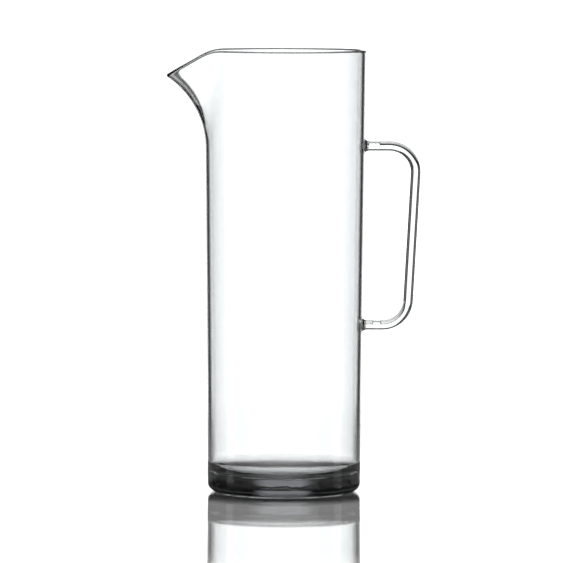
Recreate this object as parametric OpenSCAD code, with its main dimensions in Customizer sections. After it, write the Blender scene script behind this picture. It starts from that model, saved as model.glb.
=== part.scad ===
// Beer pitcher: a clear moulded vessel with a pulled pouring lip, and a bent rod handle cemented to two stubs.
// Sizes are in millimetres. +Z is up, +X points to the handle and -X to the pouring lip.
// The origin is the middle of the standing ring, on the table.

/* [Vessel] */
// Height of the rim above the table
height = 280; // [240:1:330]
// Outside diameter at the rim
rim_d = 103; // [88:0.5:126]
// Outside diameter at the foot
foot_d = 97; // [84:0.5:120]
// Thickness of the wall
wall = 2.6; // [2:0.1:3.6]
// Thickness of the solid base
base_t = 11; // [6:0.5:18]
// Radius of the rounded heel
heel_r = 5.5; // [3:0.5:8]
// Radius between the wall and the floor inside
floor_r = 9; // [2:0.5:16]
// Width of the flat ring that the vessel stands on
ring_w = 6; // [3:0.5:12]
// Depth of the shallow hollow under the base
hollow = 1.2; // [0.6:0.1:3]
// Width of the sloping edge of that hollow
hollow_edge = 2.4; // [1:0.2:6]

/* [Pouring lip] */
// How far below the rim the keel of the lip leaves the wall
lip_depth = 61; // [50:1:80]
// How far the tip stands out from the wall
lip_reach = 24.7; // [14:0.1:30]
// How far the tip lies below the rim
lip_drop = 16.4; // [6:0.1:20]
// Half of the angle that the lip takes from the round wall at the rim, in degrees
lip_half_angle = 42; // [30:1:50]
// How pointed the lip is in plan, from a round scoop to a narrow beak
lip_point = 3; // [2:0.25:5]
// How far inside the rim's edge the sloping edge of the lip would meet the rim's level
lip_slope_start = 5; // [0:0.5:8]
// Half of the length over which the rim bends down into the sloping edge
lip_slope_blend = 6; // [2:0.5:10]

/* [Handle] */
// Diameter of the rod
rod_d = 6.2; // [5.4:0.1:9]
// How far the upper arm lies below the rim
arm_drop = 60.7; // [30:0.1:80]
// Distance between the two arms
arm_spacing = 113.6; // [90:0.1:140]
// Distance from the wall to the grip's middle line, at the upper arm
reach_top = 32; // [26:0.1:45]
// Distance from the wall to the grip's middle line, at the lower arm
reach_bottom = 28.8; // [26:0.1:45]
// Radius of both bends, at the rod's middle line
bend_r = 16.5; // [9:0.1:20]
// How much thicker the rod is in the bends, where the bending has swelled it
bend_swell = 0.06; // [0.04:0.01:0.2]

/* [Joints] */
// How far the stub's end face stands off the wall
stub_l = 1.6; // [1:0.1:4]
// How much wider the stub is than the rod, on each side
stub_step = 0.2; // [0.1:0.05:1]
// Radius of the flare between the stub and the wall
stub_flare = 1.9; // [0.8:0.1:3]
// Diameter of the blind socket in the handle's end
socket_d = 3.6; // [2.4:0.1:4.4]
// Depth of the blind socket
socket_l = 10.5; // [7:0.5:13]
// Gap between the peg's end and the bottom of the socket
peg_end_gap = 0.9; // [0.3:0.1:2]
// Height of the half-round peg's flat side above its axis
peg_flat = 0.2; // [0:0.1:0.8]
// Gap that the cement fills, round the peg and between the end faces
cement_gap = 0.15; // [0.08:0.01:0.4]
// Length of the cement bead along the rod, outside the joint
bead_l = 0.7; // [0.5:0.1:1.5]
// Start of the air pocket in the upper socket, from the stub's end face
upper_air_start = 0.6; // [0.5:0.1:2]
// End of the air pocket in the upper socket, from the bottom of the socket
upper_air_end = 2.7; // [0.3:0.1:4]
// Start of the air pocket in the lower socket, from the stub's end face
lower_air_start = 4.4; // [0.5:0.1:5]
// End of the air pocket in the lower socket, from the bottom of the socket
lower_air_end = 0.5; // [0.3:0.1:1.5]

/* [Hidden] */
$fn = 96;
clear_plastic = [0.88, 0.93, 0.95, 0.4];
clear_cement = [0.95, 0.94, 0.88, 0.5];

// Segments in a quarter turn of a rounded edge
arc_steps = 8;

// The wall leans outwards evenly from the foot to the rim
function body_r(z) = foot_d / 2 + (rim_d - foot_d) / 2 * z / height;

// Points of an arc in the plane of a profile
function arc(cx, cz, r, from, to, steps) =
    [for (k = [0:steps]) let (a = from + (to - from) * k / steps) [cx + r * cos(a), cz + r * sin(a)]];

rim_z = height - wall / 2;
floor_z = base_t + floor_r;
floor_x = body_r(floor_z) - wall - floor_r;
heel_x = body_r(heel_r) - heel_r;
ring_inner_r = heel_x - ring_w;

// Keel of the lip: an arc that starts along the wall and ends at the tip
keel_z = height - lip_depth;
keel_rise = lip_depth - lip_drop;
keel_r = (lip_reach * lip_reach + keel_rise * keel_rise) / (2 * lip_reach);
keel_angle = asin(keel_rise / keel_r);
skin_keel_r = keel_r + wall / 2;
tip_x = body_r(height - lip_drop) + lip_reach;
slope_x = rim_d / 2 - lip_slope_start;
lip_slope = lip_drop / (tip_x - slope_x);

// The lip's shell fills a window in the round wall, and a thinner tongue round it reaches into the wall
window_angle = lip_half_angle + 2;
window_z = keel_z - 2;
tongue_angle = 2.5;
tongue_l = 3;
tongue_inset = 0.5;
// The shell is a hair thinner than the wall, so that the wall's edges take it in
shell_inset = 0.03;
lip_columns = 48;
lip_rows = 18;
lip_rim_steps = 8;

// Bends of the handle, and the lean of its grip
upper_z = height - arm_drop;
lower_z = upper_z - arm_spacing;
upper_bend_x = body_r(upper_z) + reach_top - bend_r;
lower_bend_x = body_r(lower_z) + reach_bottom - bend_r;
upper_bend_z = upper_z - bend_r;
lower_bend_z = lower_z + bend_r;
lean = atan((upper_bend_x - lower_bend_x) / (upper_bend_z - lower_bend_z));
grip_l = norm([upper_bend_x - lower_bend_x, upper_bend_z - lower_bend_z]);
// How far a straight length runs on inside the bend that follows it
bend_lap = 0.3;

rod_r = rod_d / 2;
stub_r = rod_r + stub_step;
socket_r = socket_d / 2;
peg_r = socket_r - cement_gap;
peg_l = socket_l - peg_end_gap;
flare_root_r = stub_r + stub_flare;
// The flare starts this much below the curved wall, so that it meets the wall all round
flare_sink = 0.1;

// How far the middle of the wall has moved out at the keel, at a height above the keel's start
function keel_out(rise) =
    rise <= 0 ? 0 :
    rise < skin_keel_r * sin(keel_angle) ? skin_keel_r - sqrt(skin_keel_r * skin_keel_r - rise * rise) :
    skin_keel_r * (1 - cos(keel_angle)) + (rise - skin_keel_r * sin(keel_angle)) * tan(keel_angle);

// Share of the keel's reach at an angle from the keel: one at the keel, none where the lip leaves the wall
function lip_share(angle, rise) =
    let (half = lip_half_angle * pow(max(rise, 0.001) / lip_depth, 0.25))
    abs(angle) >= half ? 0 : pow(cos(90 * angle / half), lip_point);

// Middle of the wall, as a distance from the axis
function skin_r(angle, z) =
    body_r(z) - wall / 2 + keel_out(z - keel_z) * lip_share(angle, z - keel_z);

function skin(angle, z) =
    let (r = skin_r(angle, z)) [-r * cos(angle), r * sin(angle), z];

function unit(v) = v / norm(v);

// Direction up the wall, and straight out of it
function skin_up(angle, z) = unit(skin(angle, z + 0.05) - skin(angle, z - 0.05));
function skin_out(angle, z) = unit(cross(skin(angle + 0.05, z) - skin(angle - 0.05, z), skin_up(angle, z)));

// Height of the rim at a distance towards the lip: level, then bending into the straight slope to the tip
function rim_height(x) =
    let (past = x - slope_x + lip_slope_blend)
    height - (past <= 0 ? 0 :
              past >= 2 * lip_slope_blend ? lip_slope * (x - slope_x) :
              lip_slope * past * past / (4 * lip_slope_blend));

// Height where the wall ends and the rounded rim starts, found by halving the range
function lip_end(angle, low, high, halvings) =
    let (z = (low + high) / 2)
    halvings == 0 ? z :
    rim_height(skin_r(angle, z) * cos(angle)) - wall / 2 >= z ? lip_end(angle, z, high, halvings - 1) :
    lip_end(angle, low, z, halvings - 1);

// Outline of the wall at one angle: up the outside, over the rounded rim and down the inside
function lip_section(angle, inset) =
    let (end = lip_end(angle, keel_z, rim_z, 24),
         half = wall / 2 - inset,
         low = window_z - tongue_l / 3,
         heights = [for (k = [0:lip_rows]) low + (end - low) * k / lip_rows],
         root = skin(angle, window_z - tongue_l),
         root_out = skin_out(angle, window_z - tongue_l) * (wall / 2 - tongue_inset),
         top = skin(angle, end),
         top_out = skin_out(angle, end) * half,
         top_up = skin_up(angle, end) * half)
    concat(
        [root + root_out],
        [for (z = heights) skin(angle, z) + skin_out(angle, z) * half],
        [for (k = [1:lip_rim_steps - 1]) let (a = 180 * k / lip_rim_steps) top + top_out * cos(a) + top_up * sin(a)],
        [for (k = [0:lip_rows]) let (z = heights[lip_rows - k]) skin(angle, z) - skin_out(angle, z) * half],
        [root - root_out]);

// Shell of the pouring lip, with its sections closer together towards the keel
module lip_shell() {
    outer = window_angle + tongue_angle;
    inner = window_angle + tongue_angle / 3;
    sections = concat(
        [lip_section(-outer, tongue_inset)],
        [for (k = [0:lip_columns]) let (u = 2 * k / lip_columns - 1)
            lip_section(inner * sign(u) * pow(abs(u), 1.4), shell_inset)],
        [lip_section(outer, tongue_inset)]);
    n = len(sections[0]);
    last = (len(sections) - 1) * n;
    sides = [for (i = [0:len(sections) - 2], k = [0:n - 1])
        let (a = i * n + k, b = i * n + (k + 1) % n)
        each [[a, b, b + n], [a, b + n, a + n]]];
    polyhedron(
        points = [for (s = sections, p = s) p],
        faces = concat([[for (k = [n - 1:-1:0]) k]], sides, [[for (k = [0:n - 1]) last + k]]));
}

// Round vessel: hollowed foot, heel, wall, rounded rim, and the floor inside
module round_body() {
    rotate_extrude()
        polygon(concat(
            [[0, hollow], [ring_inner_r - hollow_edge, hollow], [ring_inner_r, 0]],
            arc(heel_x, heel_r, heel_r, -90, 0, arc_steps),
            arc(body_r(rim_z) - wall / 2, rim_z, wall / 2, 0, 180, 2 * arc_steps),
            arc(floor_x, floor_z, floor_r, 0, -90, arc_steps),
            [[0, base_t]]));
}

module lip_window() {
    out = rim_d;
    translate([0, 0, window_z])
        linear_extrude(height)
            polygon([[0, 0], [-out, out * tan(window_angle)], [-out, -out * tan(window_angle)]]);
}

// Places a piece at a joint: its own Z axis points out of the wall, along the arm, and its -X axis points up
module at_joint(z) {
    translate([body_r(z), 0, z])
        rotate([0, 90, 0])
            children();
}

// Space above the peg's flat side, over a length of the socket
module above_flat(from, to) {
    translate([-socket_d - peg_flat, -socket_d, stub_l + from])
        cube([socket_d, 2 * socket_d, to - from]);
}

// Half-round peg with its flat side up, rooted in the stub
module peg() {
    difference() {
        translate([0, 0, stub_l / 2])
            cylinder(r = peg_r, h = stub_l / 2 + peg_l);
        above_flat(0, socket_l);
    }
}

// Flared stub on the wall, with the peg on its end face
module stub(z) {
    root = sqrt(pow(body_r(z), 2) - pow(flare_root_r, 2)) - body_r(z) - flare_sink;
    flare = min(stub_flare, stub_l - root - flare_sink);
    rotate_extrude()
        polygon(concat(
            [[0, -wall / 2], [stub_r + flare, -wall / 2]],
            arc(stub_r + flare, root + flare, flare, -90, -180, arc_steps),
            [[stub_r, stub_l], [0, stub_l]]));
    peg();
}

module vessel() {
    color(clear_plastic)
        union() {
            difference() {
                round_body();
                lip_window();
            }
            lip_shell();
            for (z = [upper_z, lower_z])
                at_joint(z) stub(z);
        }
}

module arm(bend_x, z) {
    at_joint(z)
        translate([0, 0, stub_l + cement_gap])
            cylinder(r = rod_r, h = bend_x + bend_lap - body_r(z) - stub_l - cement_gap);
}

module bend(x, z, from, turn) {
    translate([x, 0, z])
        rotate([90, 0, 0])
            rotate([0, 0, from])
                rotate_extrude(angle = turn)
                    translate([bend_r, 0])
                        circle(d = rod_d + bend_swell);
}

module handle() {
    color(clear_plastic)
        difference() {
            union() {
                arm(upper_bend_x, upper_z);
                bend(upper_bend_x, upper_bend_z, -lean, 90 + lean);
                translate([upper_bend_x, 0, upper_bend_z])
                    rotate([0, lean, 0])
                        translate([bend_r, 0, -grip_l - bend_lap])
                            cylinder(r = rod_r, h = grip_l + 2 * bend_lap);
                bend(lower_bend_x, lower_bend_z, -90, 90 - lean);
                arm(lower_bend_x, lower_z);
            }
            for (z = [upper_z, lower_z])
                at_joint(z)
                    translate([0, 0, stub_l])
                        cylinder(r = socket_r, h = socket_l);
        }
}

// Cured cement: it fills the socket round the peg and the gap between the end faces, and ends in a bead outside
module joint_cement(z, air_start, air_end) {
    color(clear_cement)
        at_joint(z)
            difference() {
                translate([0, 0, stub_l])
                    rotate_extrude()
                        polygon([[0, 0], [stub_r, 0], [rod_r, bead_l], [rod_r, cement_gap],
                                 [socket_r, cement_gap], [socket_r, socket_l], [0, socket_l]]);
                peg();
                above_flat(air_start, socket_l - air_end);
            }
}

module upper_cement() {
    joint_cement(upper_z, upper_air_start, upper_air_end);
}

module lower_cement() {
    joint_cement(lower_z, lower_air_start, lower_air_end);
}

vessel();
handle();
upper_cement();
lower_cement();
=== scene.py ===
import math

import bmesh
import bpy
from mathutils import Euler, Matrix, Vector


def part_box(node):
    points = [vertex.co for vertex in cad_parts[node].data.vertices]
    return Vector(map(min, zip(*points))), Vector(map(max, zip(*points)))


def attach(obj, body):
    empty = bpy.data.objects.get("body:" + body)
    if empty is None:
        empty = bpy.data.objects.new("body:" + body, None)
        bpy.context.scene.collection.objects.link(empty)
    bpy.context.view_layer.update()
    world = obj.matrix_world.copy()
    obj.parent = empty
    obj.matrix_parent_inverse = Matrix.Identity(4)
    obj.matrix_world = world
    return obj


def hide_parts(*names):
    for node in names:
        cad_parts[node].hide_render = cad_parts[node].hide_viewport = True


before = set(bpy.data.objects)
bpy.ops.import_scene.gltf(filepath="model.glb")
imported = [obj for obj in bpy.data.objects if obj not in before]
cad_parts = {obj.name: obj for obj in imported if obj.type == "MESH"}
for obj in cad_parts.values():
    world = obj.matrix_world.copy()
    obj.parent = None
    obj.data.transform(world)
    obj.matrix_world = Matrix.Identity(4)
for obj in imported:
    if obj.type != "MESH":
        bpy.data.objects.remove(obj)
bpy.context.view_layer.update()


# Vessel: one clear injection moulding with a tapered wall, a thick base on a standing ring, a pulled pouring
# lip, and two flared stubs on the wall for the handle. It is polished polycarbonate, clear as water.

MM = 0.001
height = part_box("vessel")[1].z
rim_r = 51.5 * MM
foot_r = 48.5 * MM
wall = 2.6 * MM
base_t = 11 * MM
heel_r = 5.5 * MM
floor_r = 9 * MM
ring_w = 6 * MM
hollow = 1.2 * MM
hollow_edge = 2.4 * MM
edge_r = 0.5 * MM

lip_depth = 61 * MM
lip_reach = 24.7 * MM
lip_drop = 16.4 * MM
lip_half_angle = math.radians(42)
lip_point = 3
lip_spread = 0.25
lip_slope_start = 5 * MM
lip_slope_blend = 6 * MM

arm_drop = 60.7 * MM
arm_spacing = 113.6 * MM
rod_r = 3.1 * MM
stub_step = 0.2 * MM
stub_l = 1.6 * MM
stub_flare = 1.8 * MM
stub_edge = 0.08 * MM

stub_r = rod_r + stub_step
rim_z = height - wall / 2
floor_z = base_t + floor_r
keel_z = height - lip_depth
upper_z = height - arm_drop
lower_z = upper_z - arm_spacing


def body_r(z):
    """Outer radius of the tapered wall at a height."""
    return foot_r + (rim_r - foot_r) * z / height


def arc(x, z, r, start, end, steps):
    """Points on an arc of a profile, from one angle to another, in degrees."""
    angles = [math.radians(start + (end - start) * k / steps) for k in range(steps + 1)]
    return [(x + r * math.cos(a), z + r * math.sin(a)) for a in angles]


def draw_profile(bm, points, closed=False):
    """A chain of edges through the points of a profile, in the XZ plane."""
    verts = [bm.verts.new((x, 0, z)) for x, z in points]
    following = verts[1:] + verts[:1] if closed else verts[1:]
    return verts + [bm.edges.new(pair) for pair in zip(verts, following)]


# The profile runs from the middle of the underside round the heel, up the wall, over the rim and down to
# the floor. Rows are close together where the lip and the stubs are shaped from the wall.
turns = 240
heel_steps = 16
round_steps = 24
lip_steps = 40
inner_steps = 46
stub_row = 1.4 * MM
window_rows = 6
window = window_rows * stub_row
lip_run_in = 2 * MM
ease = edge_r / 16
weld = 0.001 * MM

heel_x = body_r(heel_r) - heel_r
ring_inner = heel_x - ring_w
hollow_x = ring_inner - hollow_edge
lip_rows_low = upper_z + window
inner_low = keel_z - lip_run_in
outer_rows = [z - window + stub_row * k for z in (lower_z, upper_z) for k in range(2 * window_rows + 1)]
outer_rows += [lip_rows_low + (rim_z - lip_rows_low) * k / lip_steps for k in range(1, lip_steps)]
inner_rows = [rim_z + (inner_low - rim_z) * k / inner_steps for k in range(1, inner_steps + 1)]

profile = [(0, hollow), (hollow_x - edge_r, hollow), (hollow_x, hollow - 2 * ease)]
profile += [(ring_inner - edge_r, 4 * ease), (ring_inner, ease), (ring_inner + edge_r, 0)]
profile += arc(heel_x, heel_r, heel_r, -90, 0, heel_steps)
profile += [(body_r(z), z) for z in outer_rows]
profile += arc(body_r(rim_z) - wall / 2, rim_z, wall / 2, 0, 180, round_steps)
profile += [(body_r(z) - wall, z) for z in inner_rows]
profile += arc(body_r(floor_z) - wall - floor_r, floor_z, floor_r, 0, -90, round_steps)
profile += [(0, base_t)]

vessel_mesh = bmesh.new()
bmesh.ops.spin(
    vessel_mesh,
    geom=draw_profile(vessel_mesh, profile),
    cent=(0, 0, 0),
    axis=(0, 0, 1),
    angle=math.tau,
    steps=turns,
    use_merge=True,
)
bmesh.ops.remove_doubles(vessel_mesh, verts=vessel_mesh.verts, dist=weld)
bmesh.ops.recalc_face_normals(vessel_mesh, faces=vessel_mesh.faces)

# The keel of the lip is an arc that leaves the wall without a break and ends at the tip.
keel_rise = lip_depth - lip_drop
keel_r = (lip_reach**2 + keel_rise**2) / (2 * lip_reach)
keel_angle = math.asin(keel_rise / keel_r)
skin_keel_r = keel_r + wall / 2
tip_x = body_r(height - lip_drop) + lip_reach
slope_x = rim_r - lip_slope_start
lip_slope = lip_drop / (tip_x - slope_x)
lip_margin = math.radians(2)
lip_sector = lip_half_angle + lip_margin
least_rise = 0.001 * MM
halvings = 30


def keel_out(rise):
    """How far the middle of the wall has moved out at the keel."""
    arc_rise = skin_keel_r * math.sin(keel_angle)
    if rise < arc_rise:
        return skin_keel_r - math.sqrt(skin_keel_r**2 - rise**2)
    return skin_keel_r * (1 - math.cos(keel_angle)) + (rise - arc_rise) * math.tan(keel_angle)


def skin_r(angle, z):
    """Distance of the middle of the wall from the axis, at an angle from the keel. The pull dies out round
    the wall, within a sector that widens with the height."""
    rise = max(z - keel_z, least_rise)
    half = lip_half_angle * (rise / lip_depth) ** lip_spread
    share = math.cos(math.pi / 2 * angle / half) ** lip_point if abs(angle) < half else 0
    return body_r(z) - wall / 2 + keel_out(rise) * share


def skin(angle, z):
    """A point in the middle of the wall."""
    r = skin_r(angle, z)
    return Vector((-r * math.cos(angle), r * math.sin(angle), z))


def rim_height(x):
    """Height of the rim at a distance towards the lip: level, then bending into the slope to the tip."""
    past = x - slope_x + lip_slope_blend
    if past <= 0:
        return height
    if past >= 2 * lip_slope_blend:
        return height - lip_slope * (x - slope_x)
    return height - lip_slope * past**2 / (4 * lip_slope_blend)


def lip_end(angle):
    """Height where the wall ends and the rounded rim starts, found by halving the range."""
    low, high = keel_z, rim_z
    for _ in range(halvings):
        z = (low + high) / 2
        if rim_height(skin_r(angle, z) * math.cos(angle)) - wall / 2 >= z:
            low = z
        else:
            high = z
    return low


# Pull the lip: each point keeps its place across the wall, and the wall follows the lip's skin. Higher up,
# the points crowd towards the keel. The height where the wall ends is found once for each angle.
lip_lead = 1 * MM
lip_low = keel_z - lip_lead
crowding_most = 0.4
crowding_rise = 25 * MM
rise_step = 0.05 * MM
turn_step = math.radians(0.05)
end_heights = {}
for v in vessel_mesh.verts:
    angle = math.atan2(v.co.y, -v.co.x)
    if abs(angle) >= lip_sector or v.co.z <= lip_low:
        continue
    z = min(v.co.z, rim_z)
    across = v.co.xy.length - (body_r(z) - wall / 2)
    along = max(v.co.z - rim_z, 0)
    crowding = 1 + crowding_most * min((z - lip_low) / crowding_rise, 1)
    angle = lip_sector * math.copysign((abs(angle) / lip_sector) ** crowding, angle)
    key = round(angle, 5)
    if key not in end_heights:
        end_heights[key] = lip_end(angle)
    z = lip_low + (z - lip_low) * (end_heights[key] - lip_low) / (rim_z - lip_low)
    up = (skin(angle, z + rise_step) - skin(angle, z - rise_step)).normalized()
    round_wall = skin(angle + turn_step, z) - skin(angle - turn_step, z)
    out = up.cross(round_wall).normalized()
    v.co = skin(angle, z) + out * across + up * along


window_rings = 4
flare_rings = 9


def pick(geom, kind):
    """The elements of one kind in what an operator returns."""
    return [g for g in geom if isinstance(g, kind)]


def grow_stub(z):
    """Grows a stub: a window in the outer wall closes in to the stub's root, flares up to its size and ends
    in a flat face."""

    def in_window(face):
        c = face.calc_center_median()
        outside = c.x > 0 and c.xy.length > body_r(c.z) - wall / 2
        return outside and abs(c.z - z) < window and abs(c.y) < window

    def next_ring(loop, r, share=1, lift=0, end_x=None):
        """Draws the open edge on to a ring that is lifted from the wall, or flat at the stub's end."""
        grown = bmesh.ops.extrude_edge_only(vessel_mesh, edges=loop)["geom"]
        loop = [e for e in pick(grown, bmesh.types.BMEdge) if e.is_boundary]
        for v in {v for e in loop for v in e.verts}:
            start = Vector((v.co.y, v.co.z - z))
            place = start.lerp(start.normalized() * r, share)
            on_wall = math.sqrt(body_r(z + place.y) ** 2 - place.x**2)
            v.co = (on_wall + lift if end_x is None else end_x, place.x, z + place.y)
        return loop

    window_faces = [f for f in vessel_mesh.faces if in_window(f)]
    bmesh.ops.delete(vessel_mesh, geom=window_faces, context="FACES")
    loop = [e for e in vessel_mesh.edges if e.is_boundary]
    for rings_left in range(window_rings, 0, -1):
        loop = next_ring(loop, stub_r + stub_flare, share=1 / rings_left)
    for turn in [math.pi / 2 * k / flare_rings for k in range(1, flare_rings + 1)]:
        flare_r = stub_r + stub_flare * (1 - math.sin(turn))
        loop = next_ring(loop, flare_r, lift=stub_flare * (1 - math.cos(turn)))
    stub_end = body_r(z) + stub_l
    loop = next_ring(loop, stub_r, end_x=stub_end - stub_edge)
    loop = next_ring(loop, stub_r - stub_edge, end_x=stub_end)
    bmesh.ops.holes_fill(vessel_mesh, edges=loop, sides=0)


for z in (lower_z, upper_z):
    grow_stub(z)
bmesh.ops.recalc_face_normals(vessel_mesh, faces=vessel_mesh.faces)

crease_angle = math.radians(40)


def add_object(name, data):
    """An object in the scene, at the origin."""
    obj = bpy.data.objects.new(name, data)
    bpy.context.scene.collection.objects.link(obj)
    return obj


def add_piece(name, bm):
    """A piece from its finished mesh, with smooth faces."""
    for f in bm.faces:
        f.smooth = True
    mesh = bpy.data.meshes.new(name)
    bm.to_mesh(mesh)
    bm.free()
    mesh.set_sharp_from_angle(angle=crease_angle)
    return add_object(name, mesh)


vessel = add_piece("clear_vessel", vessel_mesh)


def colour(code):
    """Linear colour from an sRGB hex code."""
    parts = [int(code[k : k + 2], 16) / 255 for k in (1, 3, 5)]
    return [c / 12.92 if c <= 0.04045 else ((c + 0.055) / 1.055) ** 2.4 for c in parts] + [1]


def empty_tree(owner):
    """The node tree of a material or of the world, with nothing in it yet."""
    owner.use_nodes = True
    owner.node_tree.nodes.clear()
    return owner.node_tree


def add_node(tree, kind, inputs=None, **settings):
    """A node with its settings, values on its sockets and links into them."""
    node = tree.nodes.new(kind)
    for name, value in settings.items():
        setattr(node, name, value)
    for socket, value in (inputs or {}).items():
        if isinstance(value, bpy.types.NodeSocket):
            tree.links.new(value, node.inputs[socket])
        else:
            node.inputs[socket].default_value = value
    return node


# Injection-moulded polycarbonate: clear, with a high index and a polish from the mould. What shows is the
# dark bent edge of the wall, a grey body tint where the plastic is thick, a faint waviness where the melt
# flowed, and sink marks in the base, which shrank as it cooled.
flow_spacing = 45.5 * MM
sink_spacing = 9.1 * MM
haze_spacing = 16.7 * MM
flow_depth = 0.05 * MM
sink_depth = 0.3 * MM

plastic = bpy.data.materials.new("clear_polycarbonate")
tree = empty_tree(plastic)
place = add_node(tree, "ShaderNodeTexCoord").outputs["Object"]
flow = add_node(
    tree,
    "ShaderNodeTexNoise",
    {"Vector": place, "Scale": 1 / flow_spacing, "Detail": 1.0, "Roughness": 0.4},
)
waves = add_node(
    tree, "ShaderNodeBump", {"Height": flow.outputs["Fac"], "Strength": 0.25, "Distance": flow_depth}
)
sink = add_node(
    tree,
    "ShaderNodeTexNoise",
    {"Vector": place, "Scale": 1 / sink_spacing, "Detail": 1.0, "Roughness": 0.4},
)
above_table = add_node(tree, "ShaderNodeSeparateXYZ", {"Vector": place}).outputs["Z"]
in_base = add_node(
    tree, "ShaderNodeMapRange", {"Value": above_table, "From Min": floor_z, "From Max": base_t}
)
sink_marks = add_node(
    tree,
    "ShaderNodeBump",
    {
        "Height": sink.outputs["Fac"],
        "Strength": in_base.outputs["Result"],
        "Distance": sink_depth,
        "Normal": waves.outputs["Normal"],
    },
)
haze = add_node(tree, "ShaderNodeTexNoise", {"Vector": place, "Scale": 1 / haze_spacing, "Detail": 3.0})
polish = add_node(
    tree,
    "ShaderNodeMapRange",
    {"Value": haze.outputs["Fac"], "From Min": 0.35, "From Max": 0.75, "To Max": 0.02},
)
plastic_shader = add_node(
    tree,
    "ShaderNodeBsdfPrincipled",
    {
        "Base Color": colour("#fbfdfd"),
        "Roughness": polish.outputs["Result"],
        "IOR": 1.58,
        "Transmission Weight": 1.0,
        "Normal": sink_marks.outputs["Normal"],
    },
)
body_tint = add_node(
    tree, "ShaderNodeVolumeAbsorption", {"Color": colour("#bcbdbf"), "Density": 44.0}
)
add_node(
    tree,
    "ShaderNodeOutputMaterial",
    {"Surface": plastic_shader.outputs["BSDF"], "Volume": body_tint.outputs["Volume"]},
)

vessel.data.materials.append(plastic)
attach(vessel, "root")
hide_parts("vessel")


# Handle: one clear rod of the vessel's plastic, bent twice, with flat ends that butt on the stubs. The cement
# round each peg has nearly the rod's index and can't be seen, but it left a half-round pocket of air in each
# socket, above the flat of the peg.

bend_r = 16.5 * MM
reach_top = 32 * MM
reach_bottom = 28.8 * MM
cement_gap = 0.15 * MM
socket_r = 1.8 * MM
peg_flat = 0.2 * MM
upper_air = (0.6 * MM, 7.8 * MM)
lower_air = (4.4 * MM, 10 * MM)
rod_edge = 0.15 * MM
air_edge = 0.25 * MM
air_corner = math.radians(35)
rod_sides = 64
air_sides = 48
arm_steps = 6
bend_steps = 32
grip_steps = 24

upper_end = Vector((body_r(upper_z) + stub_l + cement_gap, 0, upper_z))
lower_end = Vector((body_r(lower_z) + stub_l + cement_gap, 0, lower_z))
upper_bend = Vector((body_r(upper_z) + reach_top - bend_r, 0, upper_z - bend_r))
lower_bend = Vector((body_r(lower_z) + reach_bottom - bend_r, 0, lower_z + bend_r))
lean = math.atan2(upper_bend.x - lower_bend.x, upper_bend.z - lower_bend.z)
along_arm = Matrix.Rotation(math.pi / 2, 4, "Y")

rod_mesh = bmesh.new()
bmesh.ops.create_circle(
    rod_mesh,
    cap_ends=False,
    segments=rod_sides,
    radius=rod_r,
    matrix=Matrix.Translation(upper_end) @ along_arm,
)


def draw_on(edges, move, steps):
    """Draws the open end of the rod straight on."""
    for _ in range(steps):
        grown = bmesh.ops.extrude_edge_only(rod_mesh, edges=edges)["geom"]
        verts = pick(grown, bmesh.types.BMVert)
        edges = [e for e in pick(grown, bmesh.types.BMEdge) if all(v in verts for v in e.verts)]
        bmesh.ops.translate(rod_mesh, verts=verts, vec=move / steps)
    return edges


def bend_on(edges, centre, angle):
    """Bends the open end of the rod round a centre."""
    grown = bmesh.ops.spin(
        rod_mesh, geom=edges, cent=centre, axis=(0, 1, 0), angle=angle, steps=bend_steps
    )
    return pick(grown["geom_last"], bmesh.types.BMEdge)


open_end = draw_on(list(rod_mesh.edges), Vector((upper_bend.x - upper_end.x, 0, 0)), arm_steps)
open_end = bend_on(open_end, upper_bend, math.pi / 2 + lean)
open_end = draw_on(open_end, lower_bend - upper_bend, grip_steps)
open_end = bend_on(open_end, lower_bend, math.pi / 2 - lean)
draw_on(open_end, Vector((lower_end.x - lower_bend.x, 0, 0)), arm_steps)
bmesh.ops.remove_doubles(rod_mesh, verts=rod_mesh.verts, dist=weld)
open_edges = [e for e in rod_mesh.edges if e.is_boundary]
caps = bmesh.ops.holes_fill(rod_mesh, edges=open_edges, sides=0)["faces"]
bmesh.ops.recalc_face_normals(rod_mesh, faces=rod_mesh.faces)
bmesh.ops.bevel(
    rod_mesh,
    geom=[e for f in caps for e in f.edges],
    offset=rod_edge,
    affect="EDGES",
    segments=3,
    profile=0.5,
    material=-1,
    clamp_overlap=True,
)


def add_air(rod_end, span):
    """A closed half-round pocket in the rod, with its faces turned to the air inside."""
    rod_faces = set(rod_mesh.faces)
    start = Matrix.Translation(rod_end + Vector((span[0], 0, 0))) @ along_arm
    disc = bmesh.ops.create_circle(
        rod_mesh, cap_ends=True, segments=air_sides, radius=socket_r, matrix=start
    )["verts"]
    disc_edges = list({e for v in disc for e in v.link_edges})
    disc_faces = list({f for v in disc for f in v.link_faces})
    bmesh.ops.bisect_plane(
        rod_mesh,
        geom=disc_faces + disc_edges + disc,
        plane_co=rod_end + Vector((0, 0, peg_flat)),
        plane_no=(0, 0, -1),
        clear_outer=True,
    )
    half = [f for f in rod_mesh.faces if f not in rod_faces]
    grown = bmesh.ops.extrude_face_region(rod_mesh, geom=half)["geom"]
    far = pick(grown, bmesh.types.BMVert)
    bmesh.ops.translate(rod_mesh, verts=far, vec=(span[1] - span[0], 0, 0))
    pocket = [f for f in rod_mesh.faces if f not in rod_faces]
    bmesh.ops.recalc_face_normals(rod_mesh, faces=pocket)
    pocket_edges = {e for f in pocket for e in f.edges}
    corners = [e for e in pocket_edges if e.calc_face_angle(0) > air_corner]
    bmesh.ops.bevel(
        rod_mesh, geom=corners, offset=air_edge, affect="EDGES", segments=3, profile=0.5, material=-1
    )
    pocket = [f for f in rod_mesh.faces if f not in rod_faces]
    bmesh.ops.reverse_faces(rod_mesh, faces=pocket)


add_air(upper_end, upper_air)
add_air(lower_end, lower_air)

handle = add_piece("clear_handle", rod_mesh)
handle.data.materials.append(plastic)
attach(handle, "root")
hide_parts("handle")


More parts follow.
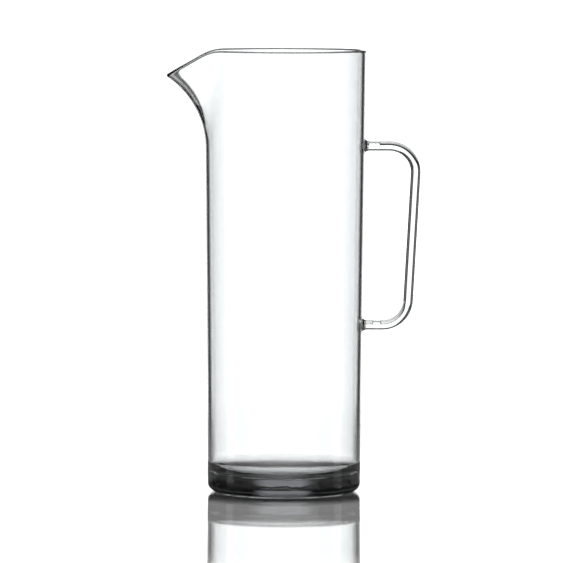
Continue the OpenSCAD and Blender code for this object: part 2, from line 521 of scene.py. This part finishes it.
# Cement beads: where each end of the rod meets its stub, a little clear cement was pressed out and set as a
# ring in the step between the two.

bead_l = 0.7 * MM
bead_gap = 0.02 * MM
bead_sides = 48
bead_hollow_along = 0.35
bead_hollow_up = 0.45

# Cured clear cement: as clear as the plastic and a little yellower. Its skin is uneven, about a millimetre
# across, and less polished, so the bead glints in places.
skin_spacing = 1.11 * MM
skin_depth = 0.03 * MM
cement = bpy.data.materials.new("cured_clear_cement")
tree = empty_tree(cement)
place = add_node(tree, "ShaderNodeTexCoord").outputs["Object"]
unevenness = add_node(
    tree, "ShaderNodeTexNoise", {"Vector": place, "Scale": 1 / skin_spacing, "Detail": 2.0}
)
dents = add_node(
    tree,
    "ShaderNodeBump",
    {"Height": unevenness.outputs["Fac"], "Strength": 0.4, "Distance": skin_depth},
)
dullness = add_node(
    tree,
    "ShaderNodeMapRange",
    {
        "Value": unevenness.outputs["Fac"],
        "From Min": 0.3,
        "From Max": 0.7,
        "To Min": 0.04,
        "To Max": 0.12,
    },
)
cement_shader = add_node(
    tree,
    "ShaderNodeBsdfPrincipled",
    {
        "Base Color": colour("#f6f6ef"),
        "Roughness": dullness.outputs["Result"],
        "IOR": 1.5,
        "Transmission Weight": 1.0,
        "Normal": dents.outputs["Normal"],
    },
)
add_node(tree, "ShaderNodeOutputMaterial", {"Surface": cement_shader.outputs["BSDF"]})

for name, node, z in (("upper_bead", "upper_cement", upper_z), ("lower_bead", "lower_cement", lower_z)):
    face_x = body_r(z) + stub_l
    inner_z = z + rod_r + bead_gap
    outer_z = z + stub_r - bead_gap
    section = [(face_x + bead_gap, inner_z), (face_x + bead_gap, outer_z)]
    hollow_z = inner_z + (outer_z - inner_z) * bead_hollow_up
    section += [(face_x + bead_l * bead_hollow_along, hollow_z), (face_x + bead_l, inner_z)]
    bead_mesh = bmesh.new()
    bmesh.ops.spin(
        bead_mesh,
        geom=draw_profile(bead_mesh, section, closed=True),
        cent=(0, 0, z),
        axis=(1, 0, 0),
        angle=math.tau,
        steps=bead_sides,
        use_merge=True,
    )
    bmesh.ops.remove_doubles(bead_mesh, verts=bead_mesh.verts, dist=weld)
    bmesh.ops.recalc_face_normals(bead_mesh, faces=bead_mesh.faces)
    bead = add_piece(name, bead_mesh)
    bead.data.materials.append(cement)
    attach(bead, "root")
    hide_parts(node)


# Stage: a glossy pale table top that fades out, and light panels all round with dark gaps between them. The
# clear wall stands against a bright field, and its edges pick up the dark gaps. Two lamps hang overhead.

table_r = 0.75
table_fade = (0.3, 0.7)
table_gap = 0.2 * MM
table_sides = 128

table_mesh = bmesh.new()
bmesh.ops.create_circle(
    table_mesh,
    cap_ends=True,
    segments=table_sides,
    radius=table_r,
    matrix=Matrix.Translation((0, 0, -table_gap)),
)
table = add_piece("table_top", table_mesh)

# Pale lacquer, sprayed and polished: it mirrors the foot of the pitcher faintly, and fades out round it.
lacquer = bpy.data.materials.new("glossy_pale_lacquer")
tree = empty_tree(lacquer)
place = add_node(tree, "ShaderNodeTexCoord").outputs["Object"]
from_middle = add_node(tree, "ShaderNodeVectorMath", {0: place}, operation="LENGTH").outputs["Value"]
fading = add_node(
    tree,
    "ShaderNodeMapRange",
    {
        "Value": from_middle,
        "From Min": table_fade[0],
        "From Max": table_fade[1],
        "To Min": 1.0,
        "To Max": 0.0,
    },
    interpolation_type="SMOOTHSTEP",
)
lacquer_shader = add_node(
    tree,
    "ShaderNodeBsdfPrincipled",
    {
        "Base Color": colour("#ededed"),
        "Roughness": 0.05,
        "IOR": 1.5,
        "Coat Weight": 1.0,
        "Alpha": fading.outputs["Result"],
    },
)
add_node(tree, "ShaderNodeOutputMaterial", {"Surface": lacquer_shader.outputs["BSDF"]})
table.data.materials.append(lacquer)

# The world gives each direction its light, by its angle round the pitcher from the back and by its height.
panel_light = 1.55
gap_light = 0.01
ground_light = 0.66
side_middle = 90
wing_middle = 37
lip_middle = -21

world = bpy.data.worlds.new("panel_ring")
bpy.context.scene.world = world
tree = empty_tree(world)
direction = add_node(tree, "ShaderNodeTexCoord").outputs["Generated"]
heading = add_node(tree, "ShaderNodeSeparateXYZ", {"Vector": direction}).outputs
azimuth = add_node(
    tree, "ShaderNodeMath", {0: heading["X"], 1: heading["Y"]}, operation="ARCTAN2"
).outputs[0]
off_back = add_node(tree, "ShaderNodeMath", {0: azimuth}, operation="ABSOLUTE").outputs[0]

off = {"back": off_back}
for name, angle, middle in (
    ("side", off_back, side_middle),
    ("wing", off_back, wing_middle),
    ("lip", azimuth, lip_middle),
):
    past = add_node(tree, "ShaderNodeMath", {0: angle, 1: math.radians(middle)}, operation="SUBTRACT")
    off[name] = add_node(tree, "ShaderNodeMath", {0: past.outputs[0]}, operation="ABSOLUTE").outputs[0]

# Each panel and each part of the ground has a soft edge, between two angles in degrees and two levels of
# light: a bright card low behind the pitcher, a box above it, dim wings, sides and a pale front. The ground
# is pale, but dark behind the pitcher. Where it is shallow, the dark part is wider and lies towards the lip.
light = {}
for name, middle, start, end, start_light, end_light in (
    ("card", "back", 24, 14, 0.0, 1.0),
    ("box", "back", 19, 9, 0.0, 1.0),
    ("wing", "wing", 5.5, 4, 0.0, 0.12),
    ("side", "side", 8, 6, 0.0, 0.5),
    ("front", "back", 124, 128, 0.0, 0.43),
    ("deep_ground", "back", 36, 41, gap_light, ground_light),
    ("shallow_ground", "lip", 57, 62, gap_light, ground_light),
):
    light[name] = add_node(
        tree,
        "ShaderNodeMapRange",
        {
            "Value": off[middle],
            "From Min": math.radians(start),
            "From Max": math.radians(end),
            "To Min": start_light,
            "To Max": end_light,
        },
        interpolation_type="SMOOTHSTEP",
    ).outputs["Result"]

# How far each height has been reached, from 0 to 1. Heights are sines of the angle above the horizon.
reach = {}
for name, start, end, blend in (
    ("under_box_top", 0.55, 0.42, "SMOOTHSTEP"),
    ("under_side_top", 0.2, 0.12, "SMOOTHSTEP"),
    ("above_horizon", -0.008, 0.004, "LINEAR"),
    ("on_ground", -0.125, -0.17, "SMOOTHSTEP"),
    ("on_deep_ground", -0.35, -0.372, "SMOOTHSTEP"),
):
    reach[name] = add_node(
        tree,
        "ShaderNodeMapRange",
        {"Value": heading["Z"], "From Min": start, "From Max": end},
        interpolation_type=blend,
    ).outputs["Result"]

# The brightest panel wins, below the horizon and above it, and the ground covers the lowest part.
around = add_node(
    tree, "ShaderNodeMath", {0: light["side"], 1: light["front"]}, operation="MAXIMUM"
).outputs[0]
low_around = add_node(tree, "ShaderNodeMath", {0: around, 1: light["wing"]}, operation="MAXIMUM")
low = add_node(
    tree, "ShaderNodeMath", {0: light["card"], 1: low_around.outputs[0]}, operation="MAXIMUM"
)
high_around = add_node(
    tree, "ShaderNodeMath", {0: around, 1: reach["under_side_top"]}, operation="MULTIPLY"
)
high_box = add_node(
    tree, "ShaderNodeMath", {0: light["box"], 1: reach["under_box_top"]}, operation="MULTIPLY"
)
high = add_node(
    tree, "ShaderNodeMath", {0: high_box.outputs[0], 1: high_around.outputs[0]}, operation="MAXIMUM"
)
panels = add_node(
    tree,
    "ShaderNodeMix",
    {"Factor": reach["above_horizon"], "A": low.outputs[0], "B": high.outputs[0]},
)
ring = add_node(
    tree,
    "ShaderNodeMath",
    {0: panels.outputs["Result"], 1: panel_light, 2: gap_light},
    operation="MULTIPLY_ADD",
)
ground = add_node(
    tree,
    "ShaderNodeMix",
    {"Factor": reach["on_deep_ground"], "A": light["shallow_ground"], "B": light["deep_ground"]},
)
all_round = add_node(
    tree,
    "ShaderNodeMix",
    {"Factor": reach["on_ground"], "A": ring.outputs[0], "B": ground.outputs["Result"]},
)
sky = add_node(
    tree,
    "ShaderNodeBackground",
    {"Color": colour("#ffffff"), "Strength": all_round.outputs["Result"]},
)
add_node(tree, "ShaderNodeOutputWorld", {"Surface": sky.outputs["Background"]})

# A small spot draws the shadow on the table and isn't seen in the plastic. A wide soft box fills in.
spot = bpy.data.lights.new("overhead_spot", "SPOT")
spot.spot_size = math.radians(130)
spot.spot_blend = 1.0
spot.shadow_soft_size = 0.03
spot.energy = 28
spot_lamp = add_object("overhead_spot", spot)
spot_lamp.location.z = 0.9
spot_lamp.visible_glossy = False
spot_lamp.visible_transmission = False

soft_box = bpy.data.lights.new("overhead_soft_box", "AREA")
soft_box.shape = "DISK"
soft_box.size = 1.2
soft_box.energy = 6
soft_box_lamp = add_object("overhead_soft_box", soft_box)
soft_box_lamp.location.z = 1.8

# The camera stands well away with a long lens and looks slightly down, as the photograph's did.
look_down = 4.018
roll = -0.17
camera = bpy.data.cameras.new("camera")
camera.lens = 336.7
camera.sensor_width = 36
camera.clip_end = 50
eye = add_object("camera", camera)
eye.location = (-0.0026, -3.33, 0.367)
eye.rotation_euler = Euler((math.radians(90 - look_down), math.radians(roll), 0))
scene = bpy.context.scene
scene.camera = eye
scene.view_settings.view_transform = "Standard"
scene.cycles.transmission_bounces = 32
scene.cycles.max_bounces = 40
